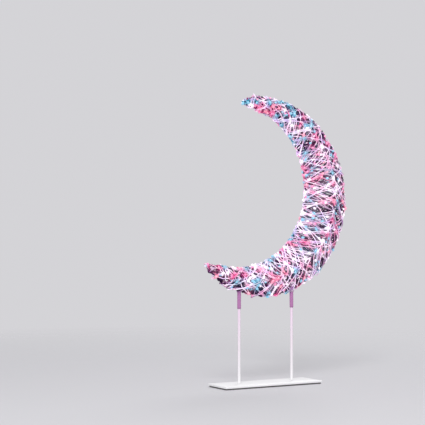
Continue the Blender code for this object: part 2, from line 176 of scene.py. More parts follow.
# %% A tree that nodes are added to
class Graph:
    """Adds nodes to one tree."""

    def __init__(self, tree):
        self.tree = tree

    def feed(self, socket, value):
        """Links a signal to a socket, or sets the socket's own value."""
        if isinstance(value, Signal):
            self.tree.links.new(value.socket, socket)
        else:
            socket.default_value = value

    def node(self, kind, settings=None, inputs=None, out=0):
        """A node of this type, its settings first and then its inputs, as one output's signal."""
        made = self.tree.nodes.new(kind)
        for name, value in (settings or {}).items():
            setattr(made, name, value)
        for name, value in (inputs or {}).items():
            self.feed(made.inputs[name], value)
        return Signal(self, made.outputs[out]) if made.outputs else made

    def mix(self, factor, first, second):
        """A colour between two colours."""
        pair = [(*c, 1.0) if isinstance(c, tuple) else c for c in (first, second)]
        inputs = {0: factor, 6: pair[0], 7: pair[1]}
        return self.node("ShaderNodeMix", {"data_type": "RGBA"}, inputs, out=2)

    def ramp(self, value, stops, stepped=False):
        """A colour picked by a number, from colour stops in rising order."""
        picked = self.node("ShaderNodeValToRGB", {}, {0: value})
        ramp = picked.socket.node.color_ramp
        ramp.interpolation = "CONSTANT" if stepped else "LINEAR"
        while len(ramp.elements) < len(stops):
            ramp.elements.new(1.0)
        for element, (place, colour) in zip(ramp.elements, stops):
            element.position = place
            element.color = (*colour, 1.0)
        return picked


# %% [markdown]
# Each finish is one material, most with a procedural colour and roughness; those of the stand, the
# cage, the joint and the tie also have a bump. All of them read object coordinates or an attribute
# of the piece. Since every piece keeps its place in its mesh, the grain then has one real scale
# over the whole object.

# %% A material and its helpers
class Finish(Graph):
    """One Principled material."""

    def __init__(self, name):
        self.material = bpy.data.materials.new(name)
        self.material.use_nodes = True
        super().__init__(self.material.node_tree)
        self.shader = self.tree.nodes["Principled BSDF"]
        self.place = self.node("ShaderNodeTexCoord", out="Object")

    def set(self, **values):
        """Sets shader sockets. An underscore in a name stands for a space."""
        for name, value in values.items():
            plain = (*value, 1.0) if isinstance(value, tuple) else value
            self.feed(self.shader.inputs[name.replace("_", " ")], plain)

    def noise(self, size, detail=2.0):
        """Noise whose patches are about this many metres across, from 0 to 1."""
        inputs = {"Vector": self.place, "Scale": 1 / size, "Detail": detail}
        return self.node("ShaderNodeTexNoise", {}, inputs)

    def bump(self, height, depth):
        normal = self.node("ShaderNodeBump", {}, {"Height": height, "Distance": depth})
        self.feed(self.shader.inputs["Normal"], normal)

    def kept(self, name, out="Fac"):
        """A number, or a colour, that the mesh keeps under this name."""
        return self.node("ShaderNodeAttribute", {"attribute_name": name}, out=out)

    def axis(self, letter):
        """The place along one axis."""
        return self.node("ShaderNodeSeparateXYZ", {}, {0: self.place}, out=letter)


# %% [markdown]
# The stand and the cage are steel with a white powder coat. Powder melts into a skin with a fine
# orange peel: soft waves under a millimetre across. The coat is a little greyer and duller where it
# is rubbed.

# %% Powder coat
COAT_WHITE = (0.95, 0.947, 0.955)
COAT_RUBBED = (0.87, 0.87, 0.885)
COAT_ROUGHNESS = 0.34
RUB_ROUGHNESS = 0.14
PEEL_ROUGHNESS = 0.05
RUB_SIZE = 0.012
RUB_STOPS = ((0.52, (0, 0, 0)), (0.78, (1, 1, 1)))
RUB_SHARE = 0.5
PEEL_SIZE = 0.0007
PEEL_DEPTH = 0.00004


def powder_coat(name, painted_light_bands=()):
    """The white coat. Each band of painted glow and shade fades in between two heights."""
    finish = Finish(name)
    rubbed = finish.ramp(finish.noise(RUB_SIZE, detail=4.0), RUB_STOPS)
    colour = finish.mix(rubbed * RUB_SHARE, COAT_WHITE, COAT_RUBBED)
    for bottom, top, painted_tint in painted_light_bands:
        share = ((finish.axis("Z") - bottom) / (top - bottom)).clamped()
        colour = finish.mix(share, colour, painted_tint)
    peel = finish.noise(PEEL_SIZE, detail=1.5)
    roughness = COAT_ROUGHNESS + RUB_ROUGHNESS * rubbed + PEEL_ROUGHNESS * peel
    finish.set(Base_Color=colour, Roughness=roughness)
    finish.bump(peel, PEEL_DEPTH)
    return finish.material


# %% [markdown]
# The lit string's glow on the coat is painted into its colour: painted lilac glow on the sleeves,
# deeper painted shade round their lower ends, and painted glow fading to pinkish white down the
# posts. The cage inside the string is painted its pinkish glow all over. That painted glow is part
# of how the object looks when lit, so it is a colour by height rather than a lamp that only one
# view sees.

# %% The coats and their painted glow and shade
# Painted glow of the lit string on the coat, and a painted shade ring at the sleeves' lower ends.
POST_PALE_GLOW = (0.95, 0.86, 0.93)
POST_GLOW = (0.95, 0.75, 0.92)
SLEEVE_GLOW = (0.49, 0.20, 0.44)
SLEEVE_SHADED_RING = (0.32, 0.12, 0.29)
CAGE_GLOW = (0.84, 0.62, 0.77)
SHADED_RING_HEIGHT = 0.0022

post_low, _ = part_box("left_post")
socket_low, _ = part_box("left_socket")
post_middle = (post_low.z + socket_low.z) / 2
shaded_ring_top = socket_low.z + SHADED_RING_HEIGHT

plate_coat = powder_coat("plate_powder_coat")
post_painted_glow = [(post_low.z, post_middle, POST_PALE_GLOW), (post_middle, socket_low.z, POST_GLOW)]
post_glow_coat = powder_coat("post_powder_coat", post_painted_glow)
# The sleeves get a painted shade at their lower ends and a painted lilac glow above.
sleeve_painted_glow_and_shade = [(0.0, socket_low.z, SLEEVE_SHADED_RING), (socket_low.z, shaded_ring_top, SLEEVE_GLOW)]
sleeve_glow_coat = powder_coat("sleeve_powder_coat", sleeve_painted_glow_and_shade)
# The cage is painted the string's pinkish glow all over.
cage_glow_coat = powder_coat("cage_powder_coat", [(0.0, socket_low.z, CAGE_GLOW)])
print("powder coats", plate_coat.name, post_glow_coat.name, sleeve_glow_coat.name, cage_glow_coat.name)

# %% [markdown]
# Under the plate lie a closed-cell foam pad and two zinc plated screws. The foam is a pattern of
# cells, so a Voronoi texture gives its skin. The screws carry the fine rings of a lathe, which are
# distances from their own axis.

# %% Foam and zinc
FOAM_PALE = (0.16, 0.15, 0.15)
FOAM_DARK = (0.09, 0.085, 0.085)
FOAM_CELL = 0.0006
FOAM_DEPTH = 0.0001
FOAM_ROUGHNESS = 0.88
CELL_ROUGHNESS = 0.06
ZINC_BLUISH = (0.50, 0.51, 0.53)
ZINC_YELLOWISH = (0.66, 0.66, 0.64)
ZINC_ROUGHNESS = 0.22
MOTTLE_SIZE = 0.0015
MOTTLE_ROUGHNESS = 0.2
RING_PITCH = 0.00025
RING_DEPTH = 0.00001


def foam():
    finish = Finish("closed_cell_foam")
    inputs = {"Vector": finish.place, "Scale": 1 / FOAM_CELL}
    cells = finish.node("ShaderNodeTexVoronoi", {}, inputs)
    colour = finish.mix(cells.clamped(), FOAM_PALE, FOAM_DARK)
    finish.set(Base_Color=colour, Roughness=FOAM_ROUGHNESS + CELL_ROUGHNESS * cells)
    finish.bump(1 - cells, FOAM_DEPTH)
    return finish.material


def zinc(name, axis_x):
    """Turned zinc, with its rings round the upright line at this x."""
    finish = Finish(name)
    across = finish.axis("X") - axis_x
    along = finish.axis("Y")
    inputs = {0: across * across + along * along}
    distance = finish.node("ShaderNodeMath", {"operation": "SQRT"}, inputs)
    inputs = {0: distance * (math.tau / RING_PITCH)}
    rings = finish.node("ShaderNodeMath", {"operation": "SINE"}, inputs)
    mottled = finish.noise(MOTTLE_SIZE, detail=3.0)
    colour = finish.mix(mottled, ZINC_BLUISH, ZINC_YELLOWISH)
    roughness = ZINC_ROUGHNESS + MOTTLE_ROUGHNESS * mottled
    finish.set(Base_Color=colour, Roughness=roughness, Metallic=1.0)
    finish.bump(rings, RING_DEPTH)
    return finish.material


# %% [markdown]
# The joint that the lead enters is moulded, with the faint spark texture of its mould. The tie
# round it is nylon with small square teeth. Both hang behind a sleeve, and the same lilac light of
# the string is painted into their colour over random paler and deeper patches.

# %% Moulded plastic and nylon
# The lilac of the joint and the tie is the string's painted glow.
JOINT_PALE_GLOW = (0.66, 0.50, 0.66)
JOINT_DEEP_GLOW = (0.60, 0.42, 0.60)
JOINT_PATCH = 0.006
JOINT_ROUGHNESS = 0.36
SPARK_SIZE = 0.0004
SPARK_DEPTH = 0.00003
SPARK_ROUGHNESS = 0.16
TIE_PALE_GLOW = (0.70, 0.52, 0.70)
TIE_DEEP_GLOW = (0.62, 0.44, 0.62)
TIE_PATCH = 0.004
TIE_ROUGHNESS = 0.42
PATCH_ROUGHNESS = 0.1
TOOTH_PITCH = 0.0012
TOOTH_DEPTH = 0.0001
TOOTH_STEEPNESS = 8
TOOTH_GAP = 3


def moulded():
    finish = Finish("joint_plastic")
    sparks = finish.noise(SPARK_SIZE)
    colour = finish.mix(finish.noise(JOINT_PATCH), JOINT_PALE_GLOW, JOINT_DEEP_GLOW)
    finish.set(Base_Color=colour, Roughness=JOINT_ROUGHNESS + SPARK_ROUGHNESS * sparks)
    finish.bump(sparks, SPARK_DEPTH)
    return finish.material


def nylon():
    finish = Finish("tie_nylon")
    inputs = {0: finish.axis("X") / TOOTH_PITCH}
    teeth = finish.node("ShaderNodeMath", {"operation": "FRACT"}, inputs)
    patches = finish.noise(TIE_PATCH)
    colour = finish.mix(patches, TIE_PALE_GLOW, TIE_DEEP_GLOW)
    finish.set(Base_Color=colour, Roughness=TIE_ROUGHNESS + PATCH_ROUGHNESS * patches)
    finish.bump((teeth * TOOTH_STEEPNESS - TOOTH_GAP).clamped(), TOOTH_DEPTH)
    return finish.material


pad_foam = foam()
joint_plastic = moulded()
tie_plastic = nylon()
print("small finishes", pad_foam.name, joint_plastic.name, tie_plastic.name)

# %% [markdown]
# The turned and flat pieces have the right shape already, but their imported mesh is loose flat
# triangles. A copy is welded and shaded smooth with its real edges kept, and stands for the node.
# Nothing is moved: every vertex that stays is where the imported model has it.

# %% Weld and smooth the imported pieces
WELD_DISTANCE = 0.000002
FLAT_ANGLE = math.radians(0.5)
EDGE_ANGLE = math.radians(32)
STAND_NODES = frame["record"]["behaviour"]["bodies"]["stand"]


def added(name, data):
    """A new object in the scene, made of this data."""
    made = bpy.data.objects.new(name, data)
    bpy.context.scene.collection.objects.link(made)
    return made


def dressed(node, surface):
    """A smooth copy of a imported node, with its finish, riding on the node's body."""
    mesh = frame["nodes"][node].data.copy()
    bm = bmesh.new()
    bm.from_mesh(mesh)
    bmesh.ops.remove_doubles(bm, verts=bm.verts, dist=WELD_DISTANCE)
    bmesh.ops.dissolve_limit(bm, angle_limit=FLAT_ANGLE, verts=bm.verts, edges=bm.edges)
    bm.to_mesh(mesh)
    bm.free()
    mesh.shade_smooth()
    mesh.set_sharp_from_angle(angle=EDGE_ANGLE)
    mesh.materials.clear()
    mesh.materials.append(surface)
    piece = added(f"{node}_finished", mesh)
    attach(piece, "stand" if node in STAND_NODES else "moon")
    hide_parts(node)
    print(piece.name, len(mesh.polygons), "faces")


# %% Dress them
dressed("base_plate", plate_coat)
dressed("base_pad", pad_foam)
for side in ("left", "right"):
    dressed(f"{side}_post", post_glow_coat)
    dressed(f"{side}_socket", sleeve_glow_coat)
    axis_x = sum(corner.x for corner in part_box(f"{side}_post")) / 2
    dressed(f"{side}_post_screw", zinc(f"{side}_screw_zinc", axis_x))
for tip in ("lower_tip", "upper_tip"):
    dressed(tip, cage_glow_coat)
dressed("lead_joint", joint_plastic)
dressed("lead_joint_tie", tie_plastic)

# %% [markdown]
# The cage is eight diamond loops of wire inside four long wires. A wire is a circle swept along a
# path, so one Geometry Nodes tree does every one of them. The path goes in as a chain of points,
# and the tree has the wire's diameter and number of sides as named inputs. Such a tree is run once
# on its source, and the plain mesh that it makes is what stays.

# %% Building geometry trees
PATH_STEPS = 2


class GeometryGraph(Graph):
    """A geometry tree with named inputs, given as (name, type, default)."""

    def __init__(self, name, sockets):
        super().__init__(bpy.data.node_groups.new(name, "GeometryNodeTree"))
        face = self.tree.interface
        face.new_socket("Geometry", in_out="INPUT", socket_type="NodeSocketGeometry")
        face.new_socket("Geometry", in_out="OUTPUT", socket_type="NodeSocketGeometry")
        for label, kind, default in sockets:
            made = face.new_socket(label, in_out="INPUT", socket_type=f"NodeSocket{kind}")
            if default is not None:
                made.default_value = default
        self.given = self.node("NodeGroupInput")

    def store(self, shape, name, value, kind="FLOAT"):
        """The shape with this value kept on its points under a name."""
        settings = {"data_type": kind, "domain": "POINT"}
        inputs = {"Geometry": shape, "Name": name, "Value": value}
        return self.node("GeometryNodeStoreNamedAttribute", settings, inputs)

    def named(self, name, kind="FLOAT"):
        """A value that was kept under a name."""
        return self.node("GeometryNodeInputNamedAttribute", {"data_type": kind}, {"Name": name})

    def random(self, least, most, seed, **inputs):
        """A random number for each element."""
        wanted = {"Min": least, "Max": most, "Seed": seed, **inputs}
        return self.node("FunctionNodeRandomValue", {"data_type": "FLOAT"}, wanted, out="Value")

    def path(self):
        """The given chain of points as a smooth curve through them."""
        curve = self.node("GeometryNodeMeshToCurve", {}, {"Mesh": self.given})
        smooth = {"spline_type": "CATMULL_ROM"}
        curve = self.node("GeometryNodeCurveSplineType", smooth, {0: curve})
        inputs = {"Geometry": curve, "Resolution": PATH_STEPS}
        curve = self.node("GeometryNodeSetSplineResolution", {}, inputs)
        return self.node("GeometryNodeResampleCurve", {"mode": "EVALUATED"}, {0: curve})

    def swept(self, path, sides, diameter):
        """A round wire of this many sides along a path, closed at its ends."""
        inputs = {"Resolution": sides, "Radius": diameter / 2}
        ring = self.node("GeometryNodeCurvePrimitiveCircle", {"mode": "RADIUS"}, inputs)
        inputs = {"Curve": path, "Profile Curve": ring, "Fill Caps": True}
        return self.node("GeometryNodeCurveToMesh", {}, inputs)

    def finished(self, shape):
        """Ends the tree: real geometry, smooth, with the material of the Surface input."""
        real = self.node("GeometryNodeRealizeInstances", {}, {0: shape})
        smooth = self.node("GeometryNodeSetShadeSmooth", {}, {0: real})
        inputs = {"Geometry": smooth, "Material": self.given.output("Surface")}
        self.node("NodeGroupOutput", {}, {0: self.node("GeometryNodeSetMaterial", {}, inputs)})
        return self.tree


# %% Running geometry trees
def point_object(name, points, edges=(), attributes=None):
    """An object of loose or joined points, with optional numbers kept on them."""
    mesh = bpy.data.meshes.new(name)
    mesh.from_pydata(points, list(edges), [])
    for label, numbers in (attributes or {}).items():
        mesh.attributes.new(label, "FLOAT", "POINT").data.foreach_set("value", numbers)
    return added(name, mesh)


def chain(name, points, closed=False, attributes=None):
    """An object of points joined in a row."""
    edges = [(index, index + 1) for index in range(len(points) - 1)]
    if closed:
        edges.append((len(points) - 1, 0))
    return point_object(name, points, edges, attributes)


def evaluated(source, tree, values):
    """The plain mesh that a tree makes of a source object. The source is then removed."""
    change = source.modifiers.new(tree.name, "NODES")
    change.node_group = tree
    for item in tree.interface.items_tree:
        if item.in_out == "INPUT" and item.name in values:
            change[item.identifier] = values[item.name]
    shapes = bpy.context.evaluated_depsgraph_get()
    mesh = bpy.data.meshes.new_from_object(source.evaluated_get(shapes), depsgraph=shapes)
    bpy.data.objects.remove(source, do_unlink=True)
    return mesh


def grown(name, source, tree, values, slot, *replaced):
    """A piece on the moon, from the mesh that a tree makes of a source object."""
    mesh = evaluated(source, tree, values)
    mesh.name = name
    piece = added(name, mesh)
    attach(piece, "moon")
    if replaced:
        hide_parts(*replaced)
    print(name, len(mesh.polygons), "faces")


# %% The swept wire tree
LONG_WIRE_SIDES = 14


def swept_wire_tree():
    sockets = [("Wire Diameter", "Float", CAGE_WIRE), ("Sides", "Int", LONG_WIRE_SIDES)]
    graph = GeometryGraph("swept_wire", [*sockets, ("Surface", "Material", None)])
    given = graph.given
    path = graph.node("GeometryNodeMeshToCurve", {}, {"Mesh": given})
    return graph.finished(graph.swept(path, given.output("Sides"), given.output("Wire Diameter")))


wire_tree = swept_wire_tree()
print("tree", wire_tree.name, "with", len(wire_tree.nodes), "nodes")

# %% [markdown]
# The four long wires run from tip to tip. They stop where they would touch each other, and the
# blunt cones at the tips carry on from there. Each follows its corner of the diamond section, so
# the two ridges stand out in front and behind by half the depth of the moon.

# %% The four long wires
LONG_WIRES = {
    "outer_rim": (1, 0),
    "inner_rim": (-1, 0),
    "front_ridge": (0, -1),
    "back_ridge": (0, 1),
}
LONG_WIRE_STEPS = 180
SEAT_GAP = 0.0003
END_SEARCH_STEP = 0.0005


def wire_end():
    """The first fraction at which the four long wires lie clear of each other."""
    fraction = 0.0
    spacing = 0.0
    while spacing < CAGE_WIRE + SEAT_GAP:
        fraction += END_SEARCH_STEP
        _, _, half_width, half_depth = section(fraction)
        spacing = math.hypot(half_width, half_depth)
    return fraction


WIRE_END = wire_end()
for node, (outward_share, depth_share) in LONG_WIRES.items():
    points = []
    for step in range(LONG_WIRE_STEPS + 1):
        fraction = WIRE_END + (1 - 2 * WIRE_END) * step / LONG_WIRE_STEPS
        middle, outward, half_width, half_depth = section(fraction)
        sideways = outward * half_width * outward_share
        points.append(middle + sideways + BACKWARD * half_depth * depth_share)
    values = {"Wire Diameter": CAGE_WIRE, "Sides": LONG_WIRE_SIDES, "Surface": cage_glow_coat}
    source = chain(f"{node}_path", points)
    grown(f"{node}_wire", source, wire_tree, values, "cage_paint", node)

# %% [markdown]
# A rib is bent from one length of wire: four straight sides and four round corners, each corner
# just inside its long wire. The same rounded diamond, drawn larger, is the path of a turn of light
# string, so it is written once as a point on a diamond for any share of a turn.

# %% The rounded diamond
CORNER_BEND = 1 / 6


def diamond_point(turn, half_width, half_depth, corner):
    """A point of a diamond with round corners, from outer to front, inner and back corner."""
    outer = Vector((half_width, 0))
    back = Vector((0, half_depth))
    corners = [outer, -back, -outer, back]
    quarter, share = divmod(turn * 4 % 4, 1)
    start = corners[int(quarter)]
    end = corners[(int(quarter) + 1) % 4]
    along = (end - start).normalized()
    square = Vector((-along.y, along.x))
    if square.dot(start) < 0:
        square = -square
    if share < CORNER_BEND:
        bend = start.normalized().lerp(square, share / CORNER_BEND)
        return start + bend.normalized() * corner
    if share > 1 - CORNER_BEND:
        bend = end.normalized().lerp(square, (1 - share) / CORNER_BEND)
        return end + bend.normalized() * corner
    return start.lerp(end, (share - CORNER_BEND) / (1 - 2 * CORNER_BEND)) + square * corner


# %% The ribs
RIB_COUNT = 8
RIB_WIRE = 0.0025
RIB_SIDES = 12
RIB_CORNER = 0.003
RIB_CORNER_STEPS = 4
RIB_INSET = CAGE_WIRE / 2 + SEAT_GAP + RIB_WIRE / 2 + RIB_CORNER
for number in range(1, RIB_COUNT + 1):
    middle, outward, half_width, half_depth = section(number / (RIB_COUNT + 1))
    points = []
    for corner in range(4):
        for step in range(-RIB_CORNER_STEPS, RIB_CORNER_STEPS + 1):
            turn = (corner + CORNER_BEND * step / RIB_CORNER_STEPS) / 4 % 1
            width, depth = half_width - RIB_INSET, half_depth - RIB_INSET
            flat = diamond_point(turn, width, depth, RIB_CORNER)
            points.append(middle + outward * flat.x + BACKWARD * flat.y)
    values = {"Wire Diameter": RIB_WIRE, "Sides": RIB_SIDES, "Surface": cage_glow_coat}
    source = chain(f"rib_{number}_path", points, closed=True)
    grown(f"rib_{number}_wire", source, wire_tree, values, "cage_paint", f"rib_{number}")

# %% [markdown]
# Each rib corner is held to its long wire by a small weld under the coat, and so are the sleeves. A
# weld is a squashed, slightly uneven bead. The tree takes the places, puts a low ball on each, and
# turns and scales it at random, with the seed and sizes as named inputs.

# %% Welds
BEAD_WIDTH = 0.0028
BEAD_UNEVENNESS = 0.25
BEAD_SEED = 4
BEAD_INSET = CAGE_WIRE / 2 + SEAT_GAP / 2
SLEEVE_BEAD_REACH = 0.7
SLEEVE_BEAD_DROP = 0.0012


def weld_tree():
    sockets = [
        ("Bead Width", "Float", BEAD_WIDTH),
        ("Unevenness", "Float", BEAD_UNEVENNESS),
        ("Seed", "Int", BEAD_SEED),
        ("Surface", "Material", None),
    ]
    graph = GeometryGraph("weld_beads", sockets)
    given = graph.given
    inputs = {"Radius": given.output("Bead Width") / 2, "Subdivisions": 2}
    ball = graph.node("GeometryNodeMeshIcoSphere", {}, inputs)
    uneven = given.output("Unevenness")
    seed = given.output("Seed")
    sides = {}
    spins = {}
    for step, letter in enumerate("XYZ"):
        sides[letter] = graph.random(1 - uneven, 1 + uneven, seed + step)
        spins[letter] = graph.random(0.0, math.tau, seed + (step + 3))
    inputs = {
        "Points": given,
        "Instance": ball,
        "Rotation": graph.node("ShaderNodeCombineXYZ", {}, spins),
        "Scale": graph.node("ShaderNodeCombineXYZ", {}, sides),
    }
    return graph.finished(graph.node("GeometryNodeInstanceOnPoints", {}, inputs))


weld_places = []
for number in range(1, RIB_COUNT + 1):
    middle, outward, half_width, half_depth = section(number / (RIB_COUNT + 1))
    for outward_share, depth_share in LONG_WIRES.values():
        sideways = outward * (half_width - BEAD_INSET) * outward_share
        weld_places.append(middle + sideways + BACKWARD * (half_depth - BEAD_INSET) * depth_share)
for side in ("left", "right"):
    low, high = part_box(f"{side}_socket")
    for y in (low.y, high.y):
        place = ((low.x + high.x) / 2, y * SLEEVE_BEAD_REACH, high.z - SLEEVE_BEAD_DROP)
        weld_places.append(Vector(place))
values = {
    "Bead Width": BEAD_WIDTH,
    "Unevenness": BEAD_UNEVENNESS,
    "Seed": BEAD_SEED,
    "Surface": cage_glow_coat,
}
source = point_object("weld_places", weld_places)
grown("cage_welds", source, weld_tree(), values, "cage_paint")

# %% [markdown]
# The light string is what one sees. It is thin coated wire, wound by hand round and round the cage,
# up and down it in nine passes, pulled straight from one long wire to the next. A helix would look
# like a machine's. Each pass is therefore set between the others, and each corner of each turn
# leans and slips along the crescent by its own amount, from a fixed seed, so the turns cross in
# many layers. The turns crowd together over the upper tip, and lie wider apart towards the lower
# one.

# %% Where the turns lie
PASS_COUNT = 9
SIDE_STEP = 0.0094
WINDING_FROM = 0.008
WINDING_TO = 1.004
LOOSE_UNTIL = 0.16
LOOSEST = 0.45
CROWDED_FROM = 0.92
CROWDING_RATE = 8


def crowding(fraction):
    """How close the turns lie, where 1 is the crescent's middle."""
    if fraction < LOOSE_UNTIL:
        return LOOSEST + (1 - LOOSEST) * fraction / LOOSE_UNTIL
    if fraction > CROWDED_FROM:
        return 1 + CROWDING_RATE * (fraction - CROWDED_FROM)
    return 1


def corner_places(shift):
    """Where each corner of one pass lies. The shift sets passes between each other."""
    places = [WINDING_FROM, WINDING_FROM + shift]
    while places[-1] < WINDING_TO:
        places.append(places[-1] + SIDE_STEP / crowding(places[-1]))
    return places


print("turns in one pass", len(corner_places(0)) / 4)

# %% [markdown]
# On the real thing the later turns slide along a long wire until they meet others, so they lie in
# small uneven bunches with dark gaps between. The inner side of the crescent is much shorter than
# the outer one, so there the bunches lie closer.

# %% Where the later turns bunch
SLIP = 0.004
LEAN = 0.016
STRONG_LEAN = 0.038
STRONG_SHARE = 0.45
LEAN_PLAY = (0.5, 1.5)
LEAN_RATE = 8
BUNCH_SEED = 8
BUNCH_GAPS = (0.0080, 0.0055, 0.0040, 0.0055)
BUNCH_PLAY = (0.7, 1.3)
BUNCH_SPREAD = 0.0007


def bunch_places(rng, gap):
    """Uneven places along one long wire where the turns slide together."""
    places = [WINDING_FROM]
    while places[-1] < WINDING_TO:
        places.append(places[-1] + gap * rng.uniform(*BUNCH_PLAY))
    return places


bunch_rng = random.Random(BUNCH_SEED)
BUNCHES = [bunch_places(bunch_rng, gap) for gap in BUNCH_GAPS]
print("bunches along each long wire", [len(places) for places in BUNCHES])


def from_nearer_end(fraction):
    """How far a place is from the nearer end of the winding."""
    return min(fraction - WINDING_FROM, WINDING_TO - fraction)


def slipped(rng, place, way, bunches):
    """Where a corner ends up: it leans up or down, slips, and may slide into a bunch."""
    lean = STRONG_LEAN if rng.random() < STRONG_SHARE else LEAN
    lean *= rng.uniform(*LEAN_PLAY) * way
    room = min(1, LEAN_RATE * max(from_nearer_end(place), 0))
    fraction = place + (lean + rng.gauss(0, SLIP)) * room
    if bunches:
        nearest = min(bunches, key=lambda bunch: abs(bunch - fraction))
        fraction = nearest + rng.gauss(0, BUNCH_SPREAD)
    return min(max(fraction, WINDING_FROM), WINDING_TO)


# %% [markdown]
# Each pass lies a little further out than the one before. The winding is fuller near the tips and
# then closes to a point over their ends, and a few late turns stand off the outer rim.

# %% How far out the turns lie
LAYER_LOW = 0.0021
LAYER_HIGH = 0.0045
LAYER_PLAY = 0.0008
STAND_OFF = 0.0028
STAND_OFF_PLAY = (0.3, 1)
STAND_OFF_SHARE = 0.16
STAND_OFF_FROM = 0.7
SWELLS = ((0.060, 0.050, 0.40), (0.17, 0.12, 0.35), (0.97, 0.07, 0.45))
CLOSING = 0.045
CLOSED = 0.06


def fullness(fraction):
    """How thick the winding is: fuller near the tips, and closing to a point over their ends."""
    swell = sum(more * max(0, 1 - ((fraction - at) / reach) ** 2) for at, reach, more in SWELLS)
    short = max(0, 1 - from_nearer_end(fraction) / CLOSING)
    return (1 + swell) * math.sqrt(max(CLOSED, 1 - short**2))


def layer_height(rng, fraction, side, rise):
    """How far outside the cage a corner lies."""
    layer = LAYER_LOW + (LAYER_HIGH - LAYER_LOW) * rise + rng.uniform(0, LAYER_PLAY)
    layer *= fullness(fraction)
    if side == 0 and rise > STAND_OFF_FROM and rng.random() < STAND_OFF_SHARE:
        layer += rng.uniform(*STAND_OFF_PLAY) * STAND_OFF
    return layer


# %% [markdown]
# A number called rise goes along with every corner: how near the surface its pass lies, which
# sets how much painted shade its strand gets. It is raised on the inner side, a painted highlight
# where more of the layers catch the light, and lowered on the outer side and towards both ends, a
# painted shade.

# %% The corners of a wound string
GOLDEN_SHARE = 0.618
BUNCHED_FROM = 4
SIDE_PAINTED_LIGHT = (-0.09, 0.03, 0.13, 0.03)
END_PAINTED_SHADE = 0.12
END_REACH = 0.11


def wound_corners(rng, hand):
    """Fraction, layer and rise of every corner of one string."""
    corners = []
    for number in range(PASS_COUNT):
        pass_rise = number / (PASS_COUNT - 1)
        places = corner_places(4 * SIDE_STEP * (number * GOLDEN_SHARE % 1))
        if number % 2:
            places.reverse()
        for place in places:
            side = hand * len(corners) % 4
            way = 1 if (number + len(corners)) % 2 else -1
            bunches = BUNCHES[side] if number >= BUNCHED_FROM else None
            fraction = slipped(rng, place, way, bunches)
            layer = layer_height(rng, fraction, side, pass_rise)
            near_end = max(0, 1 - from_nearer_end(fraction) / END_REACH)
            # The side's painted light and the painted shade near the ends go into the rise.
            painted_light = SIDE_PAINTED_LIGHT[side] - END_PAINTED_SHADE * near_end
            corners.append((fraction, layer, pass_rise + painted_light))
    return corners


# %% [markdown]
# From one corner to the next the string bends round the long wire and then runs nearly straight.
# Bent wire keeps small kinks, so every point is moved a little at random, least in depth. The
# second string is wound the other way round.

# %% The path of a wound string
SIDE_SHARES = (0, 1 / 12, 1 / 6, 1 / 3, 1 / 2, 2 / 3, 5 / 6, 11 / 12)
LEAST_HALF_SIZE = 0.0001
KINK = 0.0014
KINK_SHARES = (1, 0.3, 1)
KINKED_FROM = 0.012
STRING_STARTS = {"light_string_1": (11, 1), "light_string_2": (29, -1)}


def string_path(seed, hand):
    """The points of one wound string and the rise at each. hand is 1 or -1, for the way round."""
    rng = random.Random(seed)
    corners = wound_corners(rng, hand)
    points = []
    rises = []
    for number, (here, after) in enumerate(zip(corners, corners[1:])):
        for share in SIDE_SHARES:
            fraction, layer, rise = (a + (b - a) * share for a, b in zip(here, after))
            middle, outward, half_width, half_depth = section(fraction)
            width, depth = max(half_width, LEAST_HALF_SIZE), max(half_depth, LEAST_HALF_SIZE)
            flat = diamond_point(hand * (number + share) / 4, width, depth, layer)
            reach = KINK * min(1, (width + layer) / KINKED_FROM)
            kink = Vector([rng.uniform(-reach, reach) * axis_share for axis_share in KINK_SHARES])
            points.append(middle + outward * flat.x + BACKWARD * flat.y + kink)
            rises.append(rise)
    return points, rises


paths = {node: string_path(seed, hand) for node, (seed, hand) in STRING_STARTS.items()}
for node, (points, rises) in paths.items():
    length = sum((after - here).length for here, after in zip(points, points[1:]))
    print(node, "path", round(length, 2), "m,", len(points) // (4 * len(SIDE_SHARES)), "turns")

# %% [markdown]
# Along each string sits a small drop of clear resin over its light, 360 to a string. The first tree
# walks a path and leaves a place at every light, each with one random pick. The second puts a drop
# there. The third sweeps the wire, and asks at every point of it which of the lights near the
# surface is nearest and how near: a lit drop's glow is painted onto the strands around it,
# whichever turn they belong to. That painted colour is then softened along the strand, so that one
# light's patch runs into the next.

# %% Trees for the lights' places and the drops
LIGHTS_PER_STRING = 360
DROP_LENGTH = 0.0056
DROP_WIDTH = 0.0041
DROP_PLAY = (0.85, 1.15)
FIRST_LIGHT_SEED = 11
FIRST_DROP_SEED = 20


def light_place_tree():
    sockets = [("Light Count", "Int", LIGHTS_PER_STRING), ("Seed", "Int", FIRST_LIGHT_SEED)]
    graph = GeometryGraph("light_places", sockets)
    inputs = {"Curve": graph.path(), "Count": graph.given.output("Light Count")}
    places = graph.node("GeometryNodeCurveToPoints", {"mode": "COUNT"}, inputs)
    number = graph.node("GeometryNodeInputIndex")
    pick = graph.random(0.0, 1.0, graph.given.output("Seed"), ID=number)
    kept = graph.store(places, "pick", pick)
    kept = graph.store(kept, "along", places.output("Tangent"), "FLOAT_VECTOR")
    vertices = graph.node("GeometryNodePointsToVertices", {}, {0: kept})
    graph.node("NodeGroupOutput", {}, {0: vertices})
    return graph.tree


